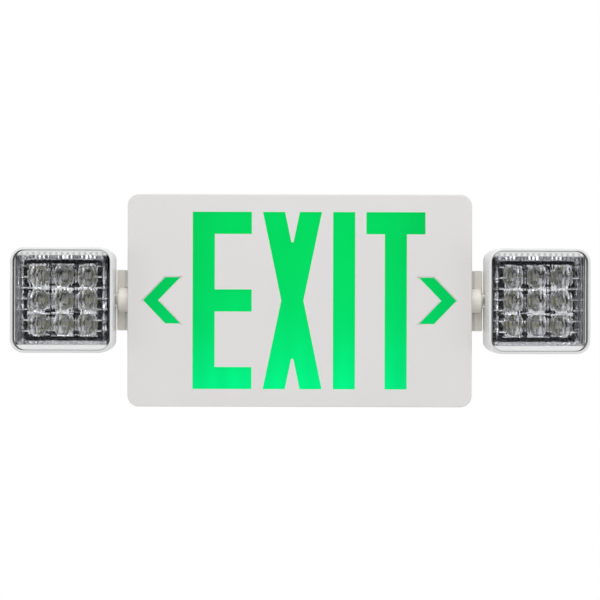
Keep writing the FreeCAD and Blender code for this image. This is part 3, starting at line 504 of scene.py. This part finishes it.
def squareSheet(loop, inset, rowSteps):
    # x = core + (corner - inset) * sine; z = row share * (core height + (corner - inset) * cosine)
    radius = loop["corner"] - inset
    share = np.linspace(-1, 1, rowSteps)[:, None]
    x = np.broadcast_to(loop["coreX"] + radius * loop["sine"], (rowSteps, len(loop["coreX"])))
    z = share * (loop["coreZ"] + radius * loop["cosine"])
    return x, z


def sheetRim(grid):
    # the outer points of a sheet in order, closed, as one row
    return np.concatenate([grid[0, :], grid[1:, -1], grid[-1, -2::-1], grid[-2::-1, 0]])


coverLook = {
    "corner": 0.0095,
    "panel": 0.0018,
    "skirt": 0.0015,
    "edge": 0.00075,
    "flutePitch": 0.0049,
    "fluteRadius": 0.0065,
    "fluteDepth": 0.00045,
    "fluteTop": 0.0405,       # the flutes run up to the skirt above
    "fluteFoot": 0.0372,      # and stop short of it below
    "fluteFade": 0.0008,      # their ends fade out over this
    "prismPitch": 0.00916,
    "prismShift": 0.0016,
    "prismCount": 9,
    "prismWidth": 0.0009,
    "prismDepth": 0.00045,
    "prismFade": 0.0006,
    "dashReach": 0.0285,      # the grooves are deep beyond this, and faint between
    "dashFade": 0.003,
    "dashFaint": 0.35,
    "frostAndLightBand": 0.0044,      # frosted above and below the window, partly painted light
    "frostAndLightSide": 0.0008,      # and on the outer side, partly painted light
    "frostFade": 0.0003,
    "paintedTickDepth": 0.45,        # how deep the painted ticks of light from above cut into the upper band
    "coreSteps": 165,
    "cornerSteps": 8,
    "rowSteps": 181,
    "edgeSteps": 5,
}


def clearCover(side):
    # worked out for the right hand from the left head's box, which isn't turned at rest
    low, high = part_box("left_lamp_lens")
    centreX = -(low[0] + high[0]) / 2
    halfWidth = (high[0] - low[0]) / 2
    halfHeight = (high[2] - low[2]) / 2
    front, seat = low[1], high[1]
    s = coverLook
    loop = squareLoop(halfWidth, halfHeight, s["corner"], centreX, s["coreSteps"], s["cornerSteps"])
    # front: flat but for level V-grooves, y = front + depth * (1 - distance to groove / width)
    x, z = squareSheet(loop, s["edge"], s["rowSteps"])
    lines = s["prismShift"] + (np.arange(s["prismCount"]) - (s["prismCount"] - 1) / 2) * s["prismPitch"]
    away = np.abs(z[..., None] - lines).min(axis=-1)
    groove = s["prismDepth"] * np.clip(1 - away / s["prismWidth"], 0, 1)
    fromMiddle = np.abs(x - centreX)
    edgeFade = np.clip((halfWidth - s["skirt"] - fromMiddle) / s["prismFade"], 0, 1)
    groove *= np.clip((fromMiddle - s["dashReach"]) / s["dashFade"] + 1, s["dashFaint"], 1)
    frontSheet = np.stack([x, front + groove * edgeFade, z], axis=-1)
    # back: upright round flutes, each raised by depth - radius + sqrt(radius^2 - distance^2), never below 0
    x, z = squareSheet(loop, s["skirt"], s["rowSteps"])
    fromFlute = np.abs((x - centreX + s["flutePitch"] / 2) % s["flutePitch"] - s["flutePitch"] / 2)
    circle = np.sqrt(np.maximum(s["fluteRadius"] ** 2 - fromFlute ** 2, 0))
    flute = np.maximum(circle - s["fluteRadius"] + s["fluteDepth"], 0)
    fade = s["fluteFade"]
    flute *= np.clip((s["fluteTop"] - z) / fade, 0, 1) * np.clip((s["fluteFoot"] + z) / fade, 0, 1)
    flute *= np.clip((halfWidth - s["skirt"] - s["prismFade"] - np.abs(x - centreX)) / fade, 0, 1)
    backSheet = np.stack([x, front + s["panel"] - flute, z], axis=-1)
    # skirt: from the front sheet's rim over a rounded edge, back to the seat and up inside to the panel
    rimFront = sheetRim(frontSheet)
    rimBack = sheetRim(backSheet)
    ones = np.ones(frontSheet.shape[:2])
    upright = np.linspace(-1, 1, s["rowSteps"])[:, None] * loop["cosine"]
    outward = np.stack([loop["sine"] * ones, 0 * ones, upright], axis=-1)
    outward[0, :, 2] = -loop["cosine"]
    outward[-1, :, 2] = loop["cosine"]
    rimOut = sheetRim(outward)
    rimOut[:, 2] = np.where(np.abs(np.abs(rimOut[:, 0]) - 1) < 1e-9, 0, rimOut[:, 2])
    turn = np.linspace(0, math.pi / 2, s["edgeSteps"] + 1)[1:]
    rings = [rimFront]
    for angle in turn:
        ring = rimFront + rimOut * s["edge"] * math.sin(angle)
        ring[:, 1] = front + s["edge"] * (1 - math.cos(angle))
        rings.append(ring)
    outer = rings[-1].copy()
    outer[:, 1] = seat
    rings.append(outer)
    inner = rimBack.copy()
    inner[:, 1] = seat
    rings.append(inner)
    rings.append(rimBack)
    skirt = np.stack(rings)[:, ::-1]
    sheets = [frontSheet, backSheet[:, ::-1], skirt]
    # the border is frosted pale above and below the window and along the outer skirt; the pale band is partly
    # painted light, standing in for the lit flange behind; above, clear stripes at the flute pitch are painted
    # ticks of light from above
    marks = []
    fade = s["frostFade"]
    for sheet in sheets:
        fromOuter = centreX + halfWidth - sheet[..., 0]
        fromEnd = halfHeight - np.abs(sheet[..., 2])
        band = np.clip((s["frostAndLightBand"] - fromEnd) / fade + 0.5, 0, 1)
        strip = np.clip((s["frostAndLightSide"] - fromOuter) / fade + 0.5, 0, 1)
        wave = 0.5 + 0.5 * np.cos(2 * math.pi * (sheet[..., 0] - centreX) / s["flutePitch"])
        above = np.clip((sheet[..., 2] - halfHeight + s["frostAndLightBand"] + fade) / fade, 0, 1)
        above *= np.clip((fromEnd - s["skirt"]) / fade, 0, 1)
        marks.append(np.maximum(band * (1 - s["paintedTickDepth"] * above * wave), strip))
    made = [placeOnSide(sheet, side) for sheet in sheets]
    marks = [markOnSide(mark, side) for mark in marks]
    piece = meshFromGrids(side + "_clear_cover", made, finishes["lens"], marks={"frostAndLight": marks})
    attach(piece, side + "_head")
    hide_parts(side + "_lamp_lens")
    return piece


reflectorLook = {
    "windowInset": 0.0069,    # head's side to the plated window
    "windowCorner": 0.0051,
    "slope": 0.0036,          # how far the window narrows down to the floor
    "floorCorner": 0.0015,
    "flangeCorner": 0.0078,
    "flangeThick": 0.0033,
    "bareEdge": 0.0001,       # the plating stops this far outside the window
    "cupPitch": 0.0207,
    "cupMouth": 0.00925,
    "cupThroat": 0.0029,
    "cupDepth": 0.0095,
    "beadWidth": 0.0007,
    "beadHeight": 0.00035,
    "beadSteps": 4,
    "eighthSteps": 5,         # points along an eighth of a cup
    "bowlSteps": 7,
    "hammer": 0.00055,        # how far the facets' corners stray
    "floorHammer": 0.0003,
    "floorShares": (0.35, 0.7, 1.0),    # where the floor's rings lie, from bead to cell's edge
    "facetAngle": 2.0,
    "wall": 0.0008,           # thickness behind the plated skin
    "seed": 7,
}


def plateReflector(side):
    s = reflectorLook
    shellLow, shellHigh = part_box("left_lamp_shell")
    low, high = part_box("left_lamp_reflector")
    centreX = -(shellLow[0] + shellHigh[0]) / 2
    flangeX = -(low[0] + high[0]) / 2
    windowWidth = (shellHigh[0] - shellLow[0]) / 2 - s["windowInset"]
    windowHeight = (shellHigh[2] - shellLow[2]) / 2 - s["windowInset"]
    front, back = low[1], high[1]
    floorY = back - s["cupDepth"]
    # a cell's rim runs round its square in steps of equal angle, so that neighbours share their points
    eighth = s["eighthSteps"]
    angle = np.arange(8 * eighth + 1) * (math.pi / 4 / eighth)
    reach = s["cupPitch"] / 2
    square = reach / np.maximum(np.abs(np.cos(angle)), np.abs(np.sin(angle)))
    # bowl: y = back - depth * (r^2 - throat^2) / (mouth^2 - throat^2), then a round bead and the flat floor
    radius = np.linspace(s["cupThroat"], s["cupMouth"], s["bowlSteps"])
    spanSquared = s["cupMouth"] ** 2 - s["cupThroat"] ** 2
    height = back - s["cupDepth"] * (radius ** 2 - s["cupThroat"] ** 2) / spanSquared
    beadTurn = np.linspace(0, math.pi, s["beadSteps"] + 1)[1:]
    beadRadius = s["cupMouth"] + s["beadWidth"] / 2 * (1 - np.cos(beadTurn))
    beadHeight = floorY - s["beadHeight"] * np.sin(beadTurn)
    ringRadius = np.concatenate([radius, beadRadius])
    ringHeight = np.concatenate([height, beadHeight])
    share = np.array(s["floorShares"])[:, None]
    floorRadius = ringRadius[-1] + (square - ringRadius[-1]) * share
    rings = np.broadcast_to(ringRadius[:, None], (len(ringRadius), len(angle)))
    cellRadius = np.concatenate([rings, floorRadius])
    cellHeight = np.concatenate([ringHeight, floorY + 0 * share[:, 0]])[:, None] + 0 * angle
    # hammered facets: every other point of the bowl strays by chance, and those between are the mean of both
    chance = np.random.default_rng(s["seed"])
    sheets = []
    for column in (-1, 0, 1):
        for row in (-1, 0, 1):
            stray = np.zeros(cellHeight.shape)
            stray[1:s["bowlSteps"] - 1, 0:-1:2] = chance.uniform(-1, 1, (s["bowlSteps"] - 2, 4 * eighth))
            floorStray = chance.uniform(-1, 1, (len(share) - 1, 4 * eighth)) * s["floorHammer"] / s["hammer"]
            stray[-len(share):-1, 0:-1:2] = floorStray
            stray[:, -1] = stray[:, 0]
            stray[:, 1::2] = (stray[:, 0:-1:2] + stray[:, 2::2]) / 2
            away = cellRadius - s["hammer"] * stray
            x = centreX + column * s["cupPitch"] + away * np.cos(angle)
            z = row * s["cupPitch"] + away * np.sin(angle)
            sheets.append(np.stack([x, cellHeight + s["hammer"] * stray, z], axis=-1)[::-1])
    # surround: from the edge of the nine cells over the floor, up the slope, over the lip and down outside
    along = reach * np.tan(np.arange(-eighth, eighth + 1) * (math.pi / 4 / eighth))
    edge = np.concatenate([along[:-1] - s["cupPitch"], along[:-1], along + s["cupPitch"]])
    far = 3 * reach
    ones = far * np.ones(len(edge) - 1)
    blockX = np.concatenate([edge[:-1], ones, edge[::-1][:-1], -ones, [-far]])
    blockZ = np.concatenate([-ones, edge[:-1], ones, edge[::-1][:-1], [-far]])
    rings = [np.stack([blockX + centreX, 0 * blockX + floorY, blockZ], axis=-1)]
    flangeWidth = (high[0] - low[0]) / 2
    flangeHeight = (high[2] - low[2]) / 2
    outlines = [
        (centreX, windowWidth - s["slope"], windowHeight - s["slope"], s["floorCorner"], floorY),
        (centreX, windowWidth, windowHeight, s["windowCorner"], front),
        (centreX, windowWidth + s["bareEdge"], windowHeight + s["bareEdge"], s["windowCorner"], front),
        (flangeX, flangeWidth, flangeHeight, s["flangeCorner"], front),
        (flangeX, flangeWidth, flangeHeight, s["flangeCorner"], front + s["flangeThick"]),
    ]
    for middle, halfWidth, halfHeight, corner, y in outlines:
        ringX, ringZ = roundedSquareAlong(blockX, blockZ, halfWidth, halfHeight, corner)
        rings.append(np.stack([ringX + middle, 0 * ringX + y, ringZ], axis=-1))
    sheets.append(np.stack(rings)[::-1])
    # the flange above and below the window is left unplated
    bare = [np.where(np.abs(sheet[..., 2]) > windowHeight + s["bareEdge"] / 2, 1.0, 0.0) for sheet in sheets]
    marks = {"bare": [markOnSide(mark, side) for mark in bare]}
    made = [placeOnSide(sheet, side) for sheet in sheets]
    piece = meshFromGrids(side + "_plated_reflector", made, finishes["reflector"], s["facetAngle"], marks)
    # the moulding's wall lies behind the plated skin
    wall = piece.modifiers.new("wall", "SOLIDIFY")
    wall.thickness = s["wall"]
    wall.offset = -1.0
    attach(piece, side + "_head")
    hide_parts(side + "_lamp_reflector")
    return piece


def roundedSquareAlong(x, z, halfWidth, halfHeight, corner):
    # sets each point on a round-cornered outline: core = point clamped to the inner square,
    # rim = core + corner * (direction from the core)
    scale = np.maximum(np.abs(x) / np.abs(x).max(), np.abs(z) / np.abs(z).max())
    atX = x / np.abs(x).max() / scale * halfWidth
    atZ = z / np.abs(z).max() / scale * halfHeight
    coreX = np.clip(atX, corner - halfWidth, halfWidth - corner)
    coreZ = np.clip(atZ, corner - halfHeight, halfHeight - corner)
    length = np.maximum(np.hypot(atX - coreX, atZ - coreZ), 1e-12)
    return coreX + (atX - coreX) / length * corner, coreZ + (atZ - coreZ) / length * corner


diodeLook = {
    "package": 0.0034,        # side of the square package
    "packageHeight": 0.0008,
    "window": 0.0010,         # radius of the phosphor window
    "steps": 32,
}


def diodeSet(side):
    # nine square packages, each with a low round window: rings from the middle of the flat back, out to the
    # square, and forward to the window's middle
    s = diodeLook
    low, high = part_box("left_lamp_diodes")
    centreX = -(low[0] + high[0]) / 2
    front, back = low[1], high[1]
    pitch = (high[0] - low[0] - s["package"]) / 2
    angle = np.linspace(0, 2 * math.pi, s["steps"] + 1)
    square = s["package"] / 2 / np.maximum(np.abs(np.cos(angle)), np.abs(np.sin(angle)))
    circle = s["window"] + 0 * angle
    radius = np.stack([0 * angle, square, square, circle, circle, 0 * angle])
    top = back - s["packageHeight"]
    height = np.array([back, back, top, top, front, front])[:, None] + 0 * angle
    glow = np.array([0, 0, 0, 0, 1, 1])[:, None] + 0 * angle
    sheets = []
    for column in (-1, 0, 1):
        for row in (-1, 0, 1):
            x = centreX + column * pitch + radius * np.cos(angle)
            z = row * pitch + radius * np.sin(angle)
            sheets.append(np.stack([x, height, z], axis=-1))
    made = [placeOnSide(sheet, side) for sheet in sheets]
    marks = {"phosphor": [glow] * len(sheets)}
    piece = meshFromGrids(side + "_diode_set", made, finishes["diode"], marks=marks)
    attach(piece, side + "_head")
    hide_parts(side + "_lamp_diodes")
    return piece


for side in ("left", "right"):
    clearCover(side)
    plateReflector(side)
    diodeSet(side)
    # the lamp boards have a white mask, unlike the green ones in the housing
    nodes[side + "_lamp_board"].material_slots[0].material = finishes["tray"]
print("lamp heads dressed")


# ---- room, light and camera

roomLook = {
    "floorZ": -0.36,
    "floorReach": 3.0,
    "floorTone": (0.84, 0.84, 0.83),
    "fadeFrom": 0.22,         # the floor turns plain white between these distances
    "fadeTo": 0.46,
    "innerRing": 0.2,
    "ringSteps": 12,
    "turnSteps": 64,
}


def paleFloor():
    # a flat round sheet: x = r cos, y = r sin
    s = roomLook
    radius = np.concatenate([[0.0], np.linspace(s["innerRing"], s["floorReach"], s["ringSteps"])])[:, None]
    angle = np.linspace(0, 2 * math.pi, s["turnSteps"] + 1)[None]
    level = 0 * radius * angle + s["floorZ"]
    grid = np.stack([radius * np.cos(angle), radius * np.sin(angle), level], axis=-1)
    finish = bpy.data.materials.new("pale floor")
    finish.use_nodes = True
    tree = finish.node_tree
    tree.nodes.clear()
    output = tree.nodes.new("ShaderNodeOutputMaterial")
    matte = tree.nodes.new("ShaderNodeBsdfDiffuse")
    matte.inputs["Color"].default_value = (*s["floorTone"], 1)
    white = tree.nodes.new("ShaderNodeEmission")
    white.inputs["Strength"].default_value = 1.0
    place = tree.nodes.new("ShaderNodeTexCoord")
    reach = tree.nodes.new("ShaderNodeVectorMath")
    reach.operation = "LENGTH"
    flat = tree.nodes.new("ShaderNodeVectorMath")
    flat.operation = "MULTIPLY"
    flat.inputs[1].default_value = (1, 1, 0)
    tree.links.new(place.outputs["Object"], flat.inputs[0])
    tree.links.new(flat.outputs["Vector"], reach.inputs[0])
    fade = spread(tree, reach.outputs["Value"], s["fadeFrom"], s["fadeTo"], 0.0, 1.0)
    fade = arithmetic(tree, "MULTIPLY", fade, seenDirectly(tree))
    above = mixShaders(tree, fade, matte.outputs["BSDF"], white.outputs["Emission"])
    # clear from below, so that the underside of the sign can be looked at
    facing = tree.nodes.new("ShaderNodeNewGeometry")
    clear = tree.nodes.new("ShaderNodeBsdfTransparent")
    sided = mixShaders(tree, facing.outputs["Backfacing"], above, clear.outputs["BSDF"])
    tree.links.new(sided, output.inputs["Surface"])
    floor = meshFromGrids("pale_floor", [grid[::-1]], finish)


cardLook = {
    "tone": (0.02, 0.02, 0.022, 1),
    "foot": -0.9,
    "top": 0.95,
    "side": 2.2,
    "front": -2.4,
    "end": -0.2,
}


def darkCard(name, start, end):
    # an upright black card from one (x, y) to the other, which only shiny and clear surfaces see
    finish = bpy.data.materials.new(name)
    finish.use_nodes = True
    shader = finish.node_tree.nodes["Principled BSDF"]
    shader.inputs["Base Color"].default_value = cardLook["tone"]
    shader.inputs["Roughness"].default_value = 1.0
    shader.inputs["Specular IOR Level"].default_value = 0.0
    grid = np.array([[(*place, cardLook[edge]) for place in (start, end)] for edge in ("foot", "top")], float)
    card = meshFromGrids(name, [grid], finish)
    card.visible_camera = False
    card.visible_diffuse = False
    card.visible_shadow = False


lightLook = {
    "worldLevel": 0.62,
    "worldTint": (1.0, 0.995, 0.985),
    "aim": (0, -0.05, 0),
    "lamps": [
        # name, power, place, size
        ("key", 15.0, (0.0, -0.9, 1.5), 1.1),
        ("left_fill", 4.0, (-1.4, -0.6, -0.2), 0.8),
        ("right_fill", 4.0, (1.4, -0.6, -0.2), 0.8),
    ],
}


def lightRoom():
    world = bpy.data.worlds.new("studio")
    scene.world = world
    world.use_nodes = True
    tree = world.node_tree
    tree.nodes.clear()
    output = tree.nodes.new("ShaderNodeOutputWorld")
    soft = tree.nodes.new("ShaderNodeBackground")
    soft.inputs["Color"].default_value = (*lightLook["worldTint"], 1)
    soft.inputs["Strength"].default_value = lightLook["worldLevel"]
    white = tree.nodes.new("ShaderNodeBackground")
    white.inputs["Color"].default_value = (1, 1, 1, 1)
    white.inputs["Strength"].default_value = 1.0
    both = mixShaders(tree, seenDirectly(tree), soft.outputs["Background"], white.outputs["Background"])
    tree.links.new(both, output.inputs["Surface"])
    for name, power, place, size in lightLook["lamps"]:
        lamp = bpy.data.lights.new(name, "AREA")
        lamp.energy = power
        lamp.size = size
        holder = bpy.data.objects.new(name, lamp)
        scene.collection.objects.link(holder)
        holder.location = place
        # the fills only lift shadows: shiny surfaces see the key alone
        holder.visible_glossy = name == "key"
        holder.visible_transmission = name == "key"
        aim = Vector(lightLook["aim"]) - holder.location
        holder.rotation_mode = "QUATERNION"
        holder.rotation_quaternion = aim.to_track_quat("-Z", "Y")


cameraLook = {
    "place": (0.00024, -1.552, 0.00052),
    "focal": 104.78,
    "roll": 0.15,             # degrees
}


def setCamera():
    data = bpy.data.cameras.new("view")
    data.sensor_width = 36.0
    data.lens = cameraLook["focal"]
    data.clip_start = 0.05
    data.clip_end = 20.0
    camera = bpy.data.objects.new("view", data)
    scene.collection.objects.link(camera)
    upright = Matrix.Rotation(math.radians(90), 3, "X")
    roll = Matrix.Rotation(math.radians(cameraLook["roll"]), 3, "Z")
    camera.rotation_euler = (upright @ roll).to_euler()
    camera.location = cameraLook["place"]
    scene.camera = camera


paleFloor()
side, front, end = cardLook["side"], cardLook["front"], cardLook["end"]
darkCard("front_card", (-side, front), (side, front))
darkCard("left_card", (-side, front), (-side, end))
darkCard("right_card", (side, front), (side, end))
lightRoom()
setCamera()
scene.view_settings.view_transform = "Standard"
print("room, lamps and camera set")
